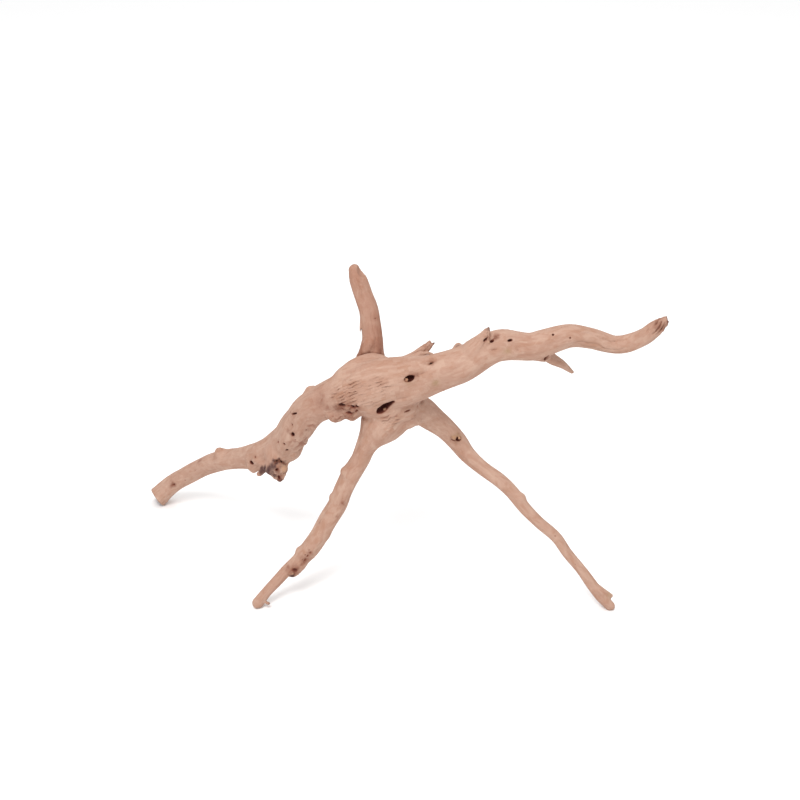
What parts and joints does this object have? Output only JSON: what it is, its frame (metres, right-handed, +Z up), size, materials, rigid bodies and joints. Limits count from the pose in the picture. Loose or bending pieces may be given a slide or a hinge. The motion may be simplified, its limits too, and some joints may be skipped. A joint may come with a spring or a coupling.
{
  "type": "bogwood root",
  "caption": "Branching bogwood root with a knotted body, slender legs, a sawn arm, a long bare arm with a split tip, an upright and broken thorns.",
  "frame": {"origin": "middle of the bounding box seen from above, at the height of the floor that the three feet stand on", "axes": "+X along the longest extent, from the sawn arm on the left to the tip of the long arm on the right; +Y from the front feet back to the sawn arm; +Z up"},
  "size_m": [0.4145, 0.1763, 0.2581],
  "materials": {
    "weathered_wood": "dry and matt, barked, pale pinkish tan with dark brown hollows"
  },
  "bodies": {
    "root": {"bogwood_root": "weathered_wood"}
  },
  "joints": []
}
